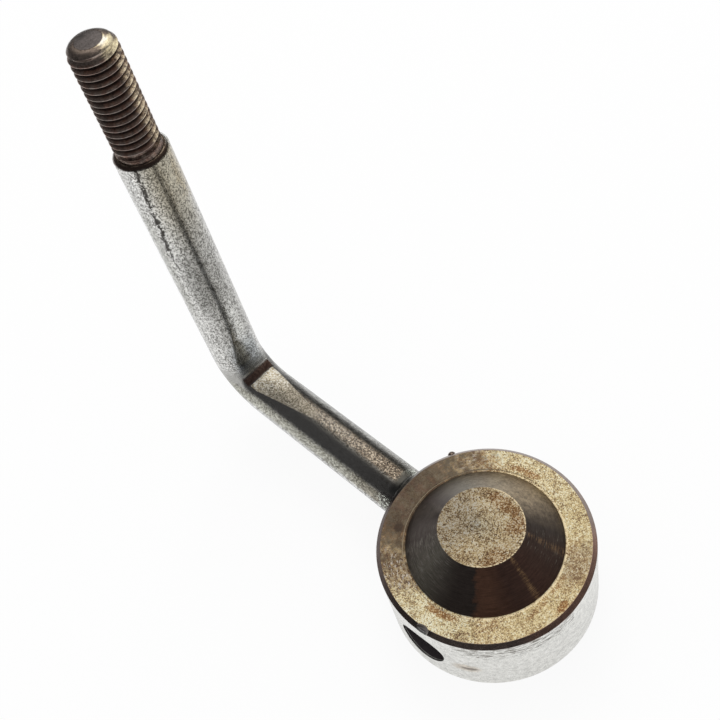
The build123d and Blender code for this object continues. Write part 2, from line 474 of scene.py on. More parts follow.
# %% Fine scratches on the cone, and two painted highlight streaks down it
slow_turn = times(tree, turn, 1.1)
slope = calc(tree, "SUBTRACT", radius, height)
hair_track = combine(tree, times(tree, slope, 4.2), times(tree, slow_turn, 5.0))
hairs = mottle(tree, hair_track, 1.0, 4.0, 0.65)
side_zone = times(tree, ease(tree, round_share, 0.58, 0.64), ease(tree, round_share, 0.78, 0.73))
side_scratches = times(tree, ease(tree, hairs, 0.53, 0.66), side_zone)
far_zone = times(tree, ease(tree, round_share, 0.03, 0.06), ease(tree, round_share, 0.13, 0.10))
far_scratches = times(tree, ease(tree, hairs, 0.57, 0.69), far_zone)
scratched = calc(tree, "ADD", side_scratches, far_scratches)
scratch_grey = (0.46, 0.43, 0.38, 1)
cone = paint(tree, cone, scratch_grey, times(tree, scratched, 0.8))
broken = ease(tree, calc(tree, "MULTIPLY_ADD", cone_grain, 0.5, rings), 0.12, 0.40)
# Painted highlights: two copper streaks down the cone, broken by its grain and lathe lines
cone_highlight_streaks = [
    # how far round, width, strength
    (0.9750, 0.0110, 0.80),
    (0.083, 0.014, 0.35),
]
copper_highlight = (0.80, 0.50, 0.26, 1)
for centre_share, width, strength in cone_highlight_streaks:
    highlight_streak = times(tree, close_to(tree, round_share, centre_share, 0.0, width), broken)
    cone = paint(tree, cone, copper_highlight, times(tree, highlight_streak, strength))
print("cone scratched")

# %% The bright side, with pits and one stain
bright = (0.845, 0.84, 0.80, 1)
pit_dark = (0.14, 0.12, 0.09, 1)
side_specks = use(tree, specks, {"Place": spot, "Size": 0.28, "Share": 0.15, "Edge": 0.04})["Mask"]
long_place = combine(tree, times(tree, turn, 9.0), times(tree, height, 2.4))
pits = mottle(tree, long_place, 1.0, 5.0, 0.65)
pit_zone = times(tree, ease(tree, height, 12.5, 16.0), ease(tree, round_share, 0.78, 0.84), 0.9)
pitted = ease(tree, calc(tree, "MULTIPLY_ADD", pit_zone, 0.17, pits), 0.665, 0.685)
pits_and_specks = calc(tree, "MULTIPLY_ADD", pitted, 0.85, times(tree, side_specks, 0.45))
side = paint(tree, bright, pit_dark, pits_and_specks)
stain_rim = patch_at(tree, spot, (-11.0, 20.2, 7.9), (3.4, 2.4, 1.9), 0.2)
stain_tan = (0.60, 0.50, 0.38, 1)
side = paint(tree, side, stain_tan, times(tree, stain_rim, 0.6))
stain = patch_at(tree, spot, (-11.5, 19.9, 7.7), (1.9, 1.5, 0.7), 0.25)
stain_brown = (0.12, 0.085, 0.060, 1)
side = paint(tree, side, stain_brown, times(tree, stain, 0.8))
print("side pitted and stained")

# %% Put the zones together, with the chamfer, the knock and the braze
chamfer_brown = facing(tree, turn, 3.3, 0.70, 0.90)
chamfer_grey = (0.28, 0.225, 0.200, 1)
chamfer_red = (0.38, 0.235, 0.190, 1)
chamfer_dark = paint(tree, chamfer_grey, chamfer_red, chamfer_brown)
colour = paint(tree, side, face, on_top)
colour = paint(tree, colour, cone, on_cone)
arm_side = facing(tree, turn, 0.7, 0.35, 0.75)
by_arm_tint = (0.42, 0.40, 0.40, 1)
chamfer_dark = paint(tree, chamfer_dark, by_arm_tint, arm_side, "MULTIPLY")
colour = paint(tree, colour, chamfer_dark, on_chamfer)
knock = patch_at(tree, spot, (-2.6, 22.4, RING), (2.6, 1.6, 1.1), 0.10)
knocked = times(tree, knock, ease(tree, height, RING - 0.02, RING - 0.06))
knock_dark = (0.105, 0.090, 0.082, 1)
colour = paint(tree, colour, knock_dark, knocked)
braze = patch_at(tree, spot, (23.2, -0.5, RING - 0.4), (1.6, 6.5, 1.3), 0.2)
braze_grey = (0.215, 0.205, 0.190, 1)
colour = paint(tree, colour, braze_grey, times(tree, braze, on_chamfer))
# Painted shade: the walls inside the holes are coloured near black
hollow_shade = (0.034, 0.026, 0.029, 1)
colour = paint(tree, colour, hollow_shade, inside)
shade = use(tree, grain, {"Place": spot, "Size": 0.3, "Contrast": 1.0})["Value"]
bright_grain = calc(tree, "MULTIPLY_ADD", shade, calc(tree, "MULTIPLY_ADD", on_top, -0.6, 0.8), 1.0)
lines = paint(tree, bright_grain, cone_light, on_cone)
colour = paint(tree, colour, lines, 1.0, "MULTIPLY")
tree.links.new(colour, shader.inputs["Base Color"])
print("hub coloured")

# %% How the hub shines, and its fine relief
flat_face = times(tree, on_top, calc(tree, "SUBTRACT", 1.0, on_cone))
flat_face = times(tree, flat_face, calc(tree, "SUBTRACT", 1.0, on_chamfer))
not_metal = calc(tree, "MAXIMUM", times(tree, flat_face, 0.6), inside)
tree.links.new(calc(tree, "SUBTRACT", 1.0, not_metal), shader.inputs["Metallic"])
rough = calc(tree, "MULTIPLY_ADD", flat_face, 0.18, calc(tree, "MULTIPLY_ADD", on_cone, 0.14, 0.24))
rough = calc(tree, "MULTIPLY_ADD", inside, 0.3, rough)
tree.links.new(rough, shader.inputs["Roughness"])
relief = calc(tree, "ADD", times(tree, shade, 0.5), times(tree, rings, on_cone))
relief = calc(tree, "MULTIPLY_ADD", age, times(tree, flat_face, 1.2), relief)
relief = calc(tree, "MULTIPLY_ADD", pitted, -0.5, relief)
bump = place(tree, "Bump", {"Strength": 0.25, "Distance": 0.00003, "Height": relief})
tree.links.new(bump.outputs[0], shader.inputs["Normal"])
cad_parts["hub"].material_slots[0].material = hub_finish
print("hub finished")

# %% [markdown]
# ## The threaded stud
# The stud was cut with a die: M10, coarse, 1.5 mm from one turn to the next. A screw surface is a
# profile that turns and climbs at once, which is what the spin tool does when it also moves the profile
# along its axis. The profile here is one tooth, from one root to the next, so the turns join up.

# %% Sizes of the stud, in mm
PITCH = 1.5
CREST = 4.95
ROOT = 4.08
arm_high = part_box("arm")[1]
TIP = arm_high.z / MM
STUD_LENGTH = 25.8
SHOULDER = TIP - STUD_LENGTH
THROW = 80.0
START = 1.30
TAPER = 2.4
TIP_RADIUS = 2.62
print("shoulder at", round(SHOULDER, 2), "tip at", round(TIP, 2))

# %% Spin one tooth up the stud
tooth = [
    (ROOT, 0.0),
    (ROOT + 0.05, 0.14),
    (ROOT + 0.18, 0.25),
    (CREST - 0.10, 0.62),
    (CREST - 0.02, 0.69),
    (CREST, 0.75),
]
tooth += [(radius_mm, PITCH - rise) for radius_mm, rise in reversed(tooth[:-1])]
turns = int(STUD_LENGTH / PITCH) + 3
STEPS_PER_TURN = 72
bm = bmesh.new()
first = SHOULDER + START - 2 * PITCH
corners = [bm.verts.new(((THROW + out) * MM, 0, (first + up) * MM)) for out, up in tooth]
edges = [bm.edges.new(pair) for pair in zip(corners, corners[1:])]
bmesh.ops.spin(
    bm,
    geom=corners + edges,
    cent=(THROW * MM, 0, 0),
    axis=(0, 0, 1),
    dvec=(0, 0, PITCH * MM / STEPS_PER_TURN),
    angle=radians(360 * turns),
    steps=STEPS_PER_TURN * turns,
    use_duplicate=False,
)
bmesh.ops.remove_doubles(bm, verts=bm.verts[:], dist=0.002 * MM)
print("thread has", len(bm.faces), "faces in", turns, "turns")

# %% Cut it to length
for height_mm, up in ((SHOULDER - 0.4, -1), (TIP, 1)):
    cut = bmesh.ops.bisect_plane(
        bm,
        geom=bm.verts[:] + bm.edges[:] + bm.faces[:],
        dist=1e-7,
        plane_co=(0, 0, height_mm * MM),
        plane_no=(0, 0, up),
        clear_outer=True,
    )
    rim = [item for item in cut["geom_cut"] if isinstance(item, bmesh.types.BMEdge)]
    bmesh.ops.contextual_create(bm, geom=rim)
print("thread cut to", STUD_LENGTH, "mm")

# %% Round its point, and let the last turn run out at the shoulder
RUN_OUT = 2.4
SHALLOW = CREST - 0.25
for vert in bm.verts:
    out = Vector((vert.co.x / MM - THROW, vert.co.y / MM))
    size = out.length
    if size < 0.01:
        continue
    share = min(max((vert.co.z / MM - (TIP - TAPER)) / TAPER, 0.0), 1.0)
    limit = TIP_RADIUS + (CREST - TIP_RADIUS) * sqrt(1 - share ** 2)
    left = min(max((vert.co.z / MM - SHOULDER - 0.2) / RUN_OUT, 0.0), 1.0)
    deepest = SHALLOW - (SHALLOW - ROOT) * left
    highest = CREST - 0.10 * (1 - left)
    wanted = min(max(size, deepest), highest, limit)
    vert.co.x = (THROW + out.x * wanted / size) * MM
    vert.co.y = out.y * wanted / size * MM
bmesh.ops.recalc_face_normals(bm, faces=bm.faces[:])
print("point rounded")

# %% Make the thread a piece of its own
thread_mesh = bpy.data.meshes.new("thread")
bm.to_mesh(thread_mesh)
bm.free()
for polygon in thread_mesh.polygons:
    polygon.use_smooth = True
thread_mesh.set_sharp_from_angle(angle=radians(38))
thread = bpy.data.objects.new("thread", thread_mesh)
bpy.context.scene.collection.objects.link(thread)
print("thread finished:", len(thread_mesh.polygons), "faces")

# %% [markdown]
# ## The bent bar
# The bar's own solid is right, apart from the plain stud on its end. A copy of its mesh keeps the bend,
# the pressed corner and the braze, and is cut off flat just above the shoulder, where the thread
# starts.

# %% Sizes of the bent bar, in mm
AXIS_HEIGHT = 12.75
BAR = 5.9
BEND = 10.0
PRESS_DEPTH = 1.2
PRESS_RUN = 22.0
print("bar", 2 * BAR, "mm thick, bent to a radius of", BEND)

# %% Copy the arm and cut off the plain stud
bm = bmesh.new()
bm.from_mesh(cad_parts["arm"].data)
bmesh.ops.remove_doubles(bm, verts=bm.verts[:], dist=0.001 * MM)
cut = bmesh.ops.bisect_plane(
    bm,
    geom=bm.verts[:] + bm.edges[:] + bm.faces[:],
    dist=1e-7,
    plane_co=(0, 0, (SHOULDER + 0.02) * MM),
    plane_no=(0, 0, 1),
    clear_outer=True,
)
rim = [item for item in cut["geom_cut"] if isinstance(item, bmesh.types.BMEdge)]
bmesh.ops.contextual_create(bm, geom=rim)
print("plain stud cut off")

# %% Part its long faces, and make it a piece
crossings = [Vector((0, 0, height_mm)) for height_mm in (24, 32, 44, 56, 68, 80)]
crossings += [Vector((along_mm, 0, 0)) for along_mm in (30, 40, 50, 60, 68)]
for crossing in crossings:
    everything = bm.verts[:] + bm.edges[:] + bm.faces[:]
    across = crossing.normalized()
    bmesh.ops.bisect_plane(bm, geom=everything, dist=1e-7, plane_co=crossing * MM, plane_no=across)
bar_mesh = bpy.data.meshes.new("bent_bar")
bm.to_mesh(bar_mesh)
bm.free()
for polygon in bar_mesh.polygons:
    polygon.use_smooth = True
bar_mesh.set_sharp_from_angle(angle=radians(28))
bar = bpy.data.objects.new("bent_bar", bar_mesh)
bpy.context.scene.collection.objects.link(bar)
print("bar has", len(bar_mesh.polygons), "faces")


# %% Give the round faces the normals of a true round bar
def middle_of_bar(spot_mm):
    """The spot of the bar's bent centre line that is level with a spot on its skin."""
    x, y, z = spot_mm
    turning = Vector((x - (THROW - BEND), 0, z - (AXIS_HEIGHT + BEND)))
    if turning.x > 0 and turning.z < 0:
        return Vector((THROW - BEND, 0, AXIS_HEIGHT + BEND)) + turning.normalized() * BEND
    if z > AXIS_HEIGHT + BEND:
        return Vector((THROW, 0, z))
    return Vector((x, 0, AXIS_HEIGHT))


def away_from_axis(spot_mm):
    """The direction from the bar's centre line to a spot on its skin."""
    return (spot_mm - middle_of_bar(spot_mm)).normalized()


def is_round(polygon):
    """True where a face lies on the round bar and not on a cut, a mark or the braze."""
    centre = polygon.center / MM
    away = away_from_axis(centre)
    lies_deep = (centre - middle_of_bar(centre)).length < BAR - 0.04
    return not lies_deep and polygon.normal.dot(away) > cos(radians(2.6))


print("round faces can be told apart")

# %% Turn their normals
normals = [corner.vector.copy() for corner in bar_mesh.corner_normals]
rounded = 0
for polygon in bar_mesh.polygons:
    if is_round(polygon):
        rounded += 1
        for loop_index in polygon.loop_indices:
            spot_mm = bar_mesh.vertices[bar_mesh.loops[loop_index].vertex_index].co / MM
            normals[loop_index] = away_from_axis(spot_mm)
bar_mesh.normals_split_custom_set(normals)
print(rounded, "of", len(bar_mesh.polygons), "faces are round")

# %% [markdown]
# ## The bar's finish
# Hands kept the bar bright, but fine pits and grime make it grey and streaky. The side that faces the
# hub is darker, and the outer rims carry a painted reflection of the white floor. Soft painted shade and
# painted light lie in stretches up the bar, and a dark line up it and a dark band low on its side are
# painted reflections. Near the hub the braze's heat tanned it, a black seam runs down from the shoulder,
# and the pressed corner is cream, with a painted pale reflection beside its tool mark and a painted
# highlight along the mark's edge.

# %% Place on the bar: how far along, and how far round
bar_finish, tree, shader, spot = start_metal("bar steel")
xyz = place(tree, "SeparateXYZ", {0: spot}).outputs
upright = ease(tree, xyz[2], 18.6, 22.0)
lying = calc(tree, "SUBTRACT", 1.0, upright)
side_of_lying = calc(tree, "ARCTAN2", xyz[1], calc(tree, "SUBTRACT", xyz[2], AXIS_HEIGHT))
toward_hub = calc(tree, "SUBTRACT", THROW, xyz[0])
side_of_upright = calc(tree, "ARCTAN2", xyz[1], toward_hub)
STRETCH = 0.65
along_x = {0: spot, 1: (STRETCH, 1.0, 1.0)}
along_z = {0: spot, 1: (1.0, 1.0, STRETCH)}
streaks_lying = place(tree, "VectorMath", along_x, operation="MULTIPLY").outputs[0]
streaks_upright = place(tree, "VectorMath", along_z, operation="MULTIPLY").outputs[0]
both_parts = {0: upright, 4: streaks_lying, 5: streaks_upright}
streaks = place(tree, "Mix", both_parts, data_type="VECTOR").outputs[1]
print("place on the bar known")

# %% Bar steel: bright sides, a darker face, and a painted reflection on the outer rims
polished = (0.66, 0.655, 0.635, 1)
darker_grey = (0.37, 0.365, 0.345, 1)
facing_hub = times(tree, close_to(tree, side_of_upright, 0.0, 0.25, 1.15), upright)
on_flanks = times(tree, close_to(tree, side_of_lying, 0.0, 0.75, 1.75), lying)
darker_zone = calc(tree, "ADD", times(tree, facing_hub, 0.9), times(tree, on_flanks, 0.85))
outer_lying = times(tree, ease(tree, side_of_lying, 1.35, 1.62), lying)
outer_upright = times(tree, ease(tree, side_of_upright, 1.62, 1.80), upright)
rim_reflection = calc(tree, "ADD", outer_lying, outer_upright)
colour = paint(tree, polished, darker_grey, darker_zone)
# Painted reflection: the bar's outer rims are coloured near white, as the white floor mirrored in them
floor_reflection_white = (0.90, 0.90, 0.89, 1)
colour = paint(tree, colour, floor_reflection_white, rim_reflection)
print("bar brightened")

# %% Grime and grain along the bar
bar_grain = weathered(tree, streaks, 0.19, 4.0, 0.55, 0.6)
grimy = calc(tree, "MULTIPLY_ADD", facing_hub, 0.06, times(tree, on_flanks, 0.03))
in_band = times(tree, close_to(tree, side_of_lying, 0.52, 0.25, 0.38), lying)
unevenness = calc(tree, "MULTIPLY_ADD", in_band, -0.8, 1.0)
bar_grain = sway(tree, bar_grain, unevenness, 0.5)
grime = ease(tree, calc(tree, "SUBTRACT", bar_grain, grimy), 0.44, 0.26)
grime_dark = (0.13, 0.122, 0.105, 1)
colour = paint(tree, colour, grime_dark, times(tree, grime, 0.75))
grain_light = sway(tree, bar_grain, 0.7, 1.0)
colour = paint(tree, colour, grain_light, 1.0, "MULTIPLY")
print("bar greyed")

# %% Soft darker and paler stretches up the bar: painted shade and painted light
# Painted shade: a darker stretch down one side of the upright part
shaded = times(tree, ease(tree, side_of_upright, 1.10, 1.30), ease(tree, side_of_upright, 1.66, 1.54))
shaded = times(tree, shaded, ease(tree, xyz[2], 40.0, 47.0), ease(tree, xyz[2], 80.0, 73.0))
shade_tint = (0.80, 0.80, 0.78, 1)
colour = paint(tree, colour, shade_tint, shaded, "MULTIPLY")
# Painted shade: a darker cloud on the upright part
shade_cloud = patch_at(tree, spot, (75.3, 3.6, 53.0), (2.4, 2.4, 10.0), 0.3)
shade_cloud_tint = (0.70, 0.70, 0.69, 1)
colour = paint(tree, colour, shade_cloud_tint, shade_cloud, "MULTIPLY")
# Painted light: a paler stretch low on the upright part's face toward the hub
lit = times(tree, ease(tree, xyz[2], 24.0, 33.0), ease(tree, xyz[2], 50.0, 38.0))
lit = times(tree, lit, close_to(tree, side_of_upright, -0.06, 0.10, 0.50))
painted_light_pale = (0.80, 0.80, 0.77, 1)
colour = paint(tree, colour, painted_light_pale, times(tree, lit, ease(tree, bar_grain, 0.05, 0.80)))
print("bar shaded")

# %% The dark line up the bar, and its wedge above the pressed corner: painted reflections
# Painted reflections: a dark line up the upright part, widening to a wedge above the pressed corner
line_side = calc(tree, "MULTIPLY_ADD", ease(tree, xyz[2], 44.0, 17.0), 0.37, 0.21)
past_line = calc(tree, "SUBTRACT", line_side, side_of_upright)
line_there = close_to(tree, past_line, 0.0, 0.03, 0.11)
low_down = ease(tree, xyz[2], 32.0, 19.0)
wedge_end = calc(tree, "MULTIPLY_ADD", low_down, 1.15, 0.05)
wedge_fade = ease(tree, past_line, wedge_end, times(tree, wedge_end, 0.12))
reflected_wedge = times(tree, ease(tree, past_line, -0.03, 0.03), wedge_fade, low_down, 0.9)
higher_up = ease(tree, xyz[2], 30.0, 44.0)
line_there = times(tree, line_there, calc(tree, "MULTIPLY_ADD", higher_up, 0.12, 0.42))
reflected_dark_line = times(tree, calc(tree, "MAXIMUM", line_there, reflected_wedge), upright)
reflection_line_tint = (0.23, 0.24, 0.265, 1)
colour = paint(tree, colour, reflection_line_tint, reflected_dark_line, "MULTIPLY")
front = close_to(tree, side_of_upright, 0.0, 0.4, 0.9)
cooler = times(tree, ease(tree, xyz[2], 34.0, 25.0), upright, front)
cool_tint = (0.86, 0.91, 0.97, 1)
colour = paint(tree, colour, cool_tint, cooler, "MULTIPLY")
# Painted reflection: a dark band low on the lying part's side
low_line_at = calc(tree, "MULTIPLY_ADD", ease(tree, xyz[0], 56.0, 72.0), -0.22, -0.55)
low_reflected_band = close_to(tree, side_of_lying, low_line_at, 0.05, 0.30)
low_reflection_tint = (0.38, 0.375, 0.37, 1)
colour = paint(tree, colour, low_reflection_tint, times(tree, low_reflected_band, lying), "MULTIPLY")
print("dark lines drawn")

# %% Tan heat colours near the hub
near_hub = ease(tree, xyz[0], 47.0, 27.0)
tan_grain = weathered(tree, streaks, 0.20, 4.3, 0.5, 0.3)
tan_stops = [
    (0.25, (0.045, 0.030, 0.022)),
    (0.44, (0.22, 0.16, 0.115)),
    (0.60, (0.48, 0.375, 0.28)),
    (0.80, (0.78, 0.69, 0.58)),
]
tan = ramp(tree, tan_grain, tan_stops)
strip = close_to(tree, side_of_lying, -0.14, 0.20, 0.36)
tanned = times(tree, strip, lying, calc(tree, "MULTIPLY_ADD", near_hub, 0.45, 0.45))
tanned = times(tree, tanned, ease(tree, xyz[0], 76.0, 66.0))
colour = paint(tree, colour, tan, tanned)
grey_heat = times(tree, ease(tree, xyz[0], 42.0, 25.0), 0.55, ease(tree, bar_grain, 0.72, 0.35))
heat_grey = (0.11, 0.098, 0.080, 1)
colour = paint(tree, colour, heat_grey, grey_heat)
warm_flank = times(tree, ease(tree, side_of_lying, 0.78, 1.0), ease(tree, side_of_lying, 1.52, 1.30))
warm_flank = times(tree, warm_flank, lying)
faint_warmth = (0.98, 0.98, 0.90, 1)
hub_warmth = (0.75, 0.70, 0.60, 1)
warmth = paint(tree, faint_warmth, hub_warmth, ease(tree, xyz[0], 42.0, 27.0))
colour = paint(tree, colour, warmth, warm_flank, "MULTIPLY")
print("bar tanned near the hub")

# %% Where the braze ends: a pale smear and rough, dark metal
smear = patch_at(tree, spot, (24.3, -3.0, 17.6), (1.5, 2.4, 1.8), 0.35)
smear_pale = (0.76, 0.79, 0.71, 1)
colour = paint(tree, colour, smear_pale, times(tree, smear, ease(tree, bar_grain, 0.35, 0.6)))
flank_pits = use(tree, specks, {"Place": streaks, "Size": 0.55, "Share": 0.40, "Edge": 0.05})["Mask"]
pits_there = times(tree, lying, ease(tree, side_of_lying, 0.75, 0.95))
flank_pits = times(tree, flank_pits, pits_there, calc(tree, "MULTIPLY_ADD", in_band, -0.75, 0.75))
pit_brown = (0.17, 0.16, 0.12, 1)
colour = paint(tree, colour, pit_brown, flank_pits)
crescent = ease(tree, xyz[0], 26.2, 24.6)
crescent = times(tree, crescent, close_to(tree, side_of_lying, 0.1, 0.35, 0.75))
crescent_dark = (0.125, 0.125, 0.118, 1)
colour = paint(tree, colour, crescent_dark, crescent)
rough_end = patch_at(tree, spot, (24.5, 5.0, 15.0), (3.2, 1.8, 2.4), 0.35)
pale_grains = ease(tree, bar_grain, 0.62, 0.78)
rough_dark = (0.07, 0.066, 0.062, 1)
rough_pale = (0.80, 0.84, 0.76, 1)
rough_colour = paint(tree, rough_dark, rough_pale, pale_grains)
colour = paint(tree, colour, rough_colour, times(tree, rough_end, 0.8))
print("end of the braze roughened")

# %% Black seam below the shoulder, and the tarnish beside it
wiggle = mottle(tree, spot, 0.35, 4.0, 0.6)
SEAM_LEAN = -0.0067
seam_at = calc(tree, "MULTIPLY_ADD", calc(tree, "SUBTRACT", xyz[2], 75.0), SEAM_LEAN, 0.96)
seam_at = sway(tree, wiggle, 0.22, seam_at)
from_seam = calc(tree, "ABSOLUTE", calc(tree, "SUBTRACT", side_of_upright, seam_at))
ragged = weathered(tree, streaks, 0.2, 1.8, 1.3, 1.4)
seam = ease(tree, calc(tree, "MULTIPLY_ADD", from_seam, -4.5, ragged), 0.19, 0.31)
seam = times(tree, seam, ease(tree, xyz[2], 61.0, 64.0))
seam_black = (0.022, 0.018, 0.015, 1)
colour = paint(tree, colour, seam_black, times(tree, seam, 0.92))
browned = patch_at(tree, spot, (76.5, -3.8, 83.0), (3.0, 2.4, 7.5), 0.35)
brown_tint = (0.80, 0.73, 0.60, 1)
colour = paint(tree, colour, brown_tint, times(tree, browned, 0.8), "MULTIPLY")
tarnish = times(tree, ease(tree, xyz[2], 60.0, 84.0), facing_hub)
tarnish_tint = (1.0, 0.93, 0.76, 1)
colour = paint(tree, colour, tarnish_tint, times(tree, tarnish, 0.85), "MULTIPLY")
print("seam and tarnish drawn")

# %% Where the pressed corner lies
NOSE = BEND - BAR + PRESS_DEPTH
MARK_FROM, MARK_TO = radians(23.7), radians(48.3)
bend_x, bend_z = THROW - BEND, AXIS_HEIGHT + BEND
from_bend_x = calc(tree, "SUBTRACT", xyz[0], bend_x)
below_bend = calc(tree, "SUBTRACT", bend_z, xyz[2])
bend_distance = span(tree, from_bend_x, below_bend)
around_bend = calc(tree, "ARCTAN2", from_bend_x, below_bend)
along_flat = calc(tree, "DIVIDE", calc(tree, "ADD", from_bend_x, PRESS_RUN), PRESS_RUN)
flat_square = times(tree, along_flat, along_flat)
flat_height = calc(tree, "MULTIPLY_ADD", flat_square, -PRESS_DEPTH, AXIS_HEIGHT + BAR)
on_flat = ease(tree, calc(tree, "SUBTRACT", xyz[2], flat_height), -0.07, -0.03)
on_flat = times(tree, on_flat, ease(tree, along_flat, 0.1, 0.3), ease(tree, around_bend, 0.02, 0.0))
before_mark = ease(tree, around_bend, MARK_FROM + 0.01, MARK_FROM - 0.01)
on_nose = times(tree, ease(tree, around_bend, 0.0, 0.02), before_mark)
on_nose = times(tree, on_nose, ease(tree, bend_distance, NOSE + 0.08, NOSE + 0.04))
pressed = calc(tree, "ADD", on_flat, on_nose)
print("pressed corner found")

# %% It is cream, and palest where a painted reflection lies beside the tool mark
press_stops = [
    (0.25, (0.10, 0.085, 0.060)),
    (0.42, (0.180, 0.156, 0.110)),
    (0.56, (0.30, 0.262, 0.198)),
    (0.75, (0.54, 0.49, 0.40)),
]
pale_reflection_stops = [
    (0.25, (0.30, 0.24, 0.15)),
    (0.42, (0.64, 0.54, 0.37)),
    (0.56, (0.90, 0.83, 0.65)),
    (0.75, (1.0, 0.99, 0.92)),
]
# Painted reflection: the cream turns palest toward the tool mark
ragged_x = calc(tree, "MULTIPLY_ADD", tan_grain, 5.0, xyz[0])
reflection_by_mark = ease(tree, calc(tree, "MULTIPLY_ADD", xyz[1], -0.75, ragged_x), 66.5, 73.5)
press_grain = weathered(tree, spot, 0.20, 3.2, 0.25, 0.5)
cream = ramp(tree, press_grain, press_stops)
cream = paint(tree, cream, ramp(tree, press_grain, pale_reflection_stops), reflection_by_mark)
colour = paint(tree, colour, cream, times(tree, pressed, 0.92))
print("pressed corner creamed")

# %% The dark tool mark across it, with a painted highlight along one edge
past_start = ease(tree, around_bend, MARK_FROM - 0.01, MARK_FROM + 0.01)
before_end = ease(tree, around_bend, MARK_TO + 0.03, MARK_TO + 0.01)
mark = times(tree, ease(tree, bend_distance, NOSE + 0.46, NOSE + 0.40), past_start, before_end)
mark_stops = [(0.30, (0.13, 0.068, 0.052)), (0.52, (0.21, 0.118, 0.092)), (0.72, (0.34, 0.225, 0.185))]
colour = paint(tree, colour, ramp(tree, tan_grain, mark_stops), times(tree, mark, 0.92))
ragged_y = calc(tree, "MULTIPLY_ADD", tan_grain, 3.0, xyz[1])
# Painted highlight: a pale line along the mark's upper edge
mark_edge_highlight = times(tree, mark, ease(tree, around_bend, MARK_TO - 0.06, MARK_TO - 0.01))
mark_edge_highlight = times(tree, mark_edge_highlight, ease(tree, ragged_y, 0.5, -1.5))
mark_highlight_pale = (0.75, 0.72, 0.68, 1)
colour = paint(tree, colour, mark_highlight_pale, mark_edge_highlight)
print("tool mark drawn")

# %% The burnt shoulder
burnt = ease(tree, sway(tree, wiggle, 0.6, xyz[2]), SHOULDER - 0.66, SHOULDER - 0.48)
burnt = times(tree, burnt, ease(tree, side_of_upright, -1.25, -0.55))
burnt_brown = (0.12, 0.085, 0.070, 1)
colour = paint(tree, colour, burnt_brown, burnt)
shoulder_face = ease(tree, xyz[2], SHOULDER - 0.04, SHOULDER - 0.01)
scale_stops = [(0.30, (0.09, 0.066, 0.055)), (0.55, (0.20, 0.150, 0.122)), (0.80, (0.50, 0.41, 0.32))]
colour = paint(tree, colour, ramp(tree, ragged, scale_stops), shoulder_face)
tree.links.new(colour, shader.inputs["Base Color"])
print("shoulder burnt")

# %% How the bar shines, and its fine relief
not_metal = calc(tree, "MAXIMUM", times(tree, pressed, 0.6), times(tree, flank_pits, 0.8))
tree.links.new(calc(tree, "SUBTRACT", 1.0, not_metal), shader.inputs["Metallic"])
shader.inputs["Roughness"].default_value = 0.22
bump = place(tree, "Bump", {"Strength": 0.5, "Distance": 0.00003, "Height": bar_grain})
tree.links.new(bump.outputs[0], shader.inputs["Normal"])
bar_mesh.materials.clear()
bar_mesh.materials.append(bar_finish)
print("bar finished")

# %% [markdown]
# ## The thread's finish
# The thread's colour follows from how far a point lies from the stud's axis: the grooves are dark from
# dirt and painted shade, and the crests pale from wear and a painted highlight. A painted golden
# highlight runs down one side, the last turn is dark where it runs out at the shoulder, and the point
# carries a painted highlight on one side and painted shade on another. One side went golden, the last
# turn is dark where it runs out at the
# shoulder, and the point was scraped bare when a grip was started on it.

# %% Thread steel: flanks darker toward the root from dirt and painted shade, crests pale from wear and a painted highlight, and a dark run-out
thread_finish, tree, shader, spot = start_metal("thread steel")
thread_grain = weathered(tree, spot, 0.16, 1.6, 1.2, 1.0)
xyz = place(tree, "SeparateXYZ", {0: spot}).outputs
out_x = calc(tree, "SUBTRACT", xyz[0], THROW)
radius = span(tree, out_x, xyz[1])
turn = calc(tree, "ARCTAN2", xyz[1], out_x)
crest = ease(tree, radius, CREST - 0.22, CREST - 0.01)
# Dirt and painted shade darken the flanks toward the root; wear and a painted highlight pale the crests
flank_dirt_and_shade_stops = [(0.0, (0.055, 0.042, 0.038)), (0.45, (0.195, 0.148, 0.128)), (1.0, (0.400, 0.325, 0.280))]
colour = ramp(tree, ease(tree, radius, ROOT, CREST), flank_dirt_and_shade_stops)
crest_wear_and_highlight = (0.370, 0.315, 0.280, 1)
colour = paint(tree, colour, crest_wear_and_highlight, crest)
run_out_there = ease(tree, xyz[2], SHOULDER + 2.3, SHOULDER + 1.5)
scale_stops = [(0.25, (0.105, 0.079, 0.068)), (0.52, (0.14, 0.106, 0.090)), (0.85, (0.27, 0.215, 0.180))]
colour = paint(tree, colour, ramp(tree, thread_grain, scale_stops), run_out_there)
print("thread darkened")

# %% Rust red here and there, and a painted golden highlight down one side
reddened = ease(tree, mottle(tree, spot, 0.7, 3.0), 0.45, 0.62)
red_tint = (1.0, 0.84, 0.79, 1)
colour = paint(tree, colour, red_tint, reddened, "MULTIPLY")
# Painted highlight: a golden, streaky band down one side of the thread
highlight_side = facing(tree, turn, -2.55, 0.90, 0.99)
streaky = times(tree, ease(tree, thread_grain, 0.22, 0.60), ease(tree, radius, CREST - 0.8, CREST - 0.1))
gold_highlight = times(tree, highlight_side, streaky, 0.9)
gold_highlight = times(tree, gold_highlight, ease(tree, xyz[2], SHOULDER + 1.0, SHOULDER + 3.2))
highlight_gold = (0.86, 0.71, 0.50, 1)
colour = paint(tree, colour, highlight_gold, gold_highlight)
print("one side gilded")

# %% The point: grey, with painted shade on one side
below_end = ease(tree, xyz[2], TIP - 0.005, TIP - 0.03)
on_point = times(tree, ease(tree, xyz[2], TIP - 2.6, TIP - 2.0), below_end)
on_cap = times(tree, on_point, ease(tree, radius, CREST - 0.2, CREST - 0.5))
point_grey = (0.275, 0.225, 0.195, 1)
colour = paint(tree, colour, point_grey, on_cap)
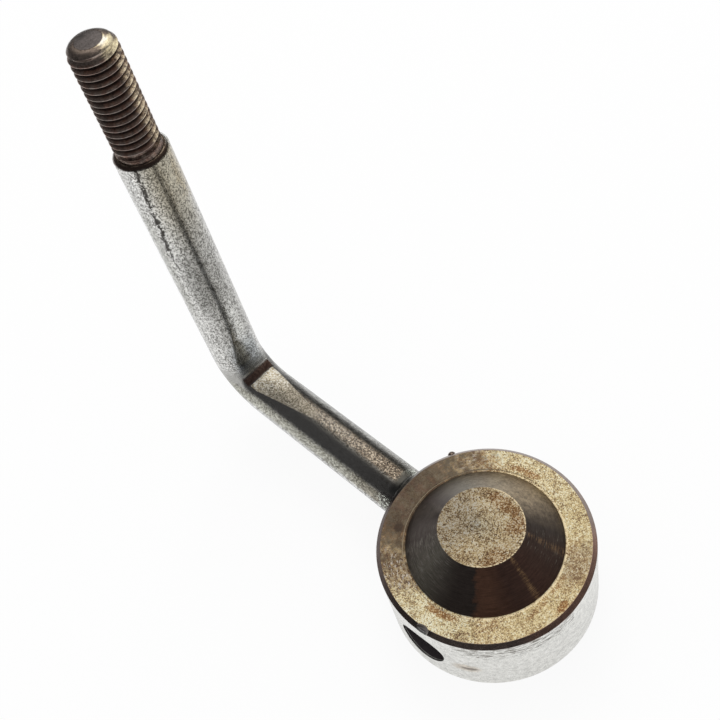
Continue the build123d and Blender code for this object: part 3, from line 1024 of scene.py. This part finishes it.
# Painted shade: one side of the point is darker
away = facing(tree, turn, -0.4, -0.1, 0.6)
point_shade = (0.20, 0.175, 0.165, 1)
colour = paint(tree, colour, point_shade, times(tree, on_point, away))
print("point greyed")

# %% The point's other side: a painted highlight, golden, and white by the end face
# Painted highlight: golden on one side of the point, whitest next to the end face
highlight_break_place = combine(tree, times(tree, xyz[2], 4.0), times(tree, turn, 1.6), times(tree, radius, 3.0))
highlight_breakup = mottle(tree, highlight_break_place, 1.0, 4.0, 0.6)
highlight_facing = calc(tree, "COSINE", calc(tree, "ADD", turn, 2.60))
point_highlight = times(tree, on_point, ease(tree, sway(tree, highlight_breakup, 0.9, highlight_facing), 0.72, 1.05))
point_highlight_gold = (0.92, 0.79, 0.52, 1)
colour = paint(tree, colour, point_highlight_gold, point_highlight)
by_end_face = ease(tree, radius, TIP_RADIUS + 1.3, TIP_RADIUS + 0.3)
whitest_highlight = times(tree, ease(tree, highlight_facing, 0.86, 0.99), by_end_face, on_point, 0.7)
highlight_white = (1.0, 0.98, 0.92, 1)
colour = paint(tree, colour, highlight_white, whitest_highlight)
print("point scraped")

# %% The flat end, and how the thread shines
gold_highlight = calc(tree, "MAXIMUM", gold_highlight, point_highlight)
tree.links.new(calc(tree, "MULTIPLY_ADD", gold_highlight, -0.6, 1.0), shader.inputs["Metallic"])
at_tip = ease(tree, xyz[2], TIP - 0.03, TIP - 0.01)
end_face = times(tree, at_tip, ease(tree, radius, TIP_RADIUS + 0.1, TIP_RADIUS))
end_grey = (0.175, 0.160, 0.162, 1)
colour = paint(tree, colour, end_grey, end_face)
bright_grain = sway(tree, thread_grain, 1.1, 1.1)
colour = paint(tree, colour, bright_grain, 1.0, "MULTIPLY")
tree.links.new(colour, shader.inputs["Base Color"])
shader.inputs["Roughness"].default_value = 0.34
bump = place(tree, "Bump", {"Strength": 0.3, "Distance": 0.00005, "Height": thread_grain})
tree.links.new(bump.outputs[0], shader.inputs["Normal"])
thread_mesh.materials.append(thread_finish)
print("thread finished")

# %% Join the pieces to the CAD's body
for piece in (bar, thread):
    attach(piece, "root")
    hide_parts("arm")
print("pieces ride on the body")

# %% [markdown]
# ## Camera, floor and light
# The camera looks down on the hub from above its open side. The floor and the light are plain: a white
# floor, a soft white world, and a large soft lamp overhead. Bare metal shows what it mirrors, so the
# world that the metal sees has one broad glow overhead and is dimmer all round it, as in a small studio.

# %% Camera
LENS = 52.77
ROLL = radians(-17.96)
camera_data = bpy.data.cameras.new("camera")
camera_data.sensor_width = 36
camera_data.lens = LENS
camera_data.clip_start = 0.01
camera = bpy.data.objects.new("camera", camera_data)
bpy.context.scene.collection.objects.link(camera)
bpy.context.scene.camera = camera
eye = Vector((-78.59, 62.36, 220.46)) * MM
aim = Vector((41.93, -10.09, 38.53)) * MM
looking = (aim - eye).to_track_quat("-Z", "Y").to_matrix().to_4x4()
camera.matrix_world = Matrix.Translation(eye) @ looking @ Matrix.Rotation(ROLL, 4, "Z")
print("camera is", round((aim - eye).length, 3), "m from its aim")

# %% Floor
bm = bmesh.new()
bmesh.ops.create_grid(bm, x_segments=1, y_segments=1, size=3)
floor_mesh = bpy.data.meshes.new("floor")
bm.to_mesh(floor_mesh)
bm.free()
floor = bpy.data.objects.new("floor", floor_mesh)
bpy.context.scene.collection.objects.link(floor)
paper = bpy.data.materials.new("white paper")
paper.use_nodes = True
tree = paper.node_tree
shader = tree.nodes["Principled BSDF"]
shader.inputs["Base Color"].default_value = (0.8, 0.8, 0.8, 1)
shader.inputs["Roughness"].default_value = 0.9
shader.inputs["Specular IOR Level"].default_value = 0.0
path = place(tree, "LightPath").outputs
mirrored = calc(tree, "MAXIMUM", path["Is Glossy Ray"], path["Is Transmission Ray"])
seen = calc(tree, "MAXIMUM", path["Is Camera Ray"], times(tree, mirrored, 0.5))
glow = place(tree, "Emission", {"Color": (1, 1, 1, 1), "Strength": 1.0})
mixed = place(tree, "MixShader", {0: times(tree, seen, 0.9), 1: shader.outputs[0], 2: glow.outputs[0]})
tree.links.new(mixed.outputs[0], tree.nodes["Material Output"].inputs["Surface"])
floor_mesh.materials.append(paper)
print("floor laid")

# %% World
LAMP_PLACE = Vector((0.45, -0.40, 0.80))
world = bpy.data.worlds.new("studio")
bpy.context.scene.world = world
world.use_nodes = True
tree = world.node_tree
tree.nodes.clear()
toward = place(tree, "TexCoord").outputs["Generated"]
along_lamp = {0: toward, 1: LAMP_PLACE.normalized()}
to_lamp = place(tree, "VectorMath", along_lamp, operation="DOT_PRODUCT")
overhead = ease(tree, to_lamp.outputs["Value"], 0.80, 0.955)
to_window = place(tree, "VectorMath", {0: toward, 1: (0.0, -1.0, 0.0)}, operation="DOT_PRODUCT")
window_side = ease(tree, to_window.outputs["Value"], -0.6, 1.0)
room = paint(tree, (0.075, 0.073, 0.075, 1), (0.17, 0.165, 0.155, 1), window_side)
room = paint(tree, room, (0.95, 0.90, 0.82, 1), overhead)
path = place(tree, "LightPath").outputs
colour = paint(tree, (1, 1, 1, 1), room, path["Is Glossy Ray"])
back = place(tree, "Background", {"Color": colour, "Strength": 1.0})
place(tree, "OutputWorld", {"Surface": back.outputs[0]})
print("world made")

# %% Lamp
lamp_data = bpy.data.lights.new("soft lamp", "AREA")
lamp_data.shape = "DISK"
lamp_data.size = 0.5
lamp_data.energy = 2.0
lamp = bpy.data.objects.new("soft lamp", lamp_data)
bpy.context.scene.collection.objects.link(lamp)
lamp_turn = LAMP_PLACE.to_track_quat("Z", "Y").to_matrix().to_4x4()
lamp.matrix_world = Matrix.Translation(LAMP_PLACE) @ lamp_turn
lamp.visible_glossy = False
print("lamp lit")

# %% Show the colours with the Standard view transform
bpy.context.scene.view_settings.view_transform = "Standard"
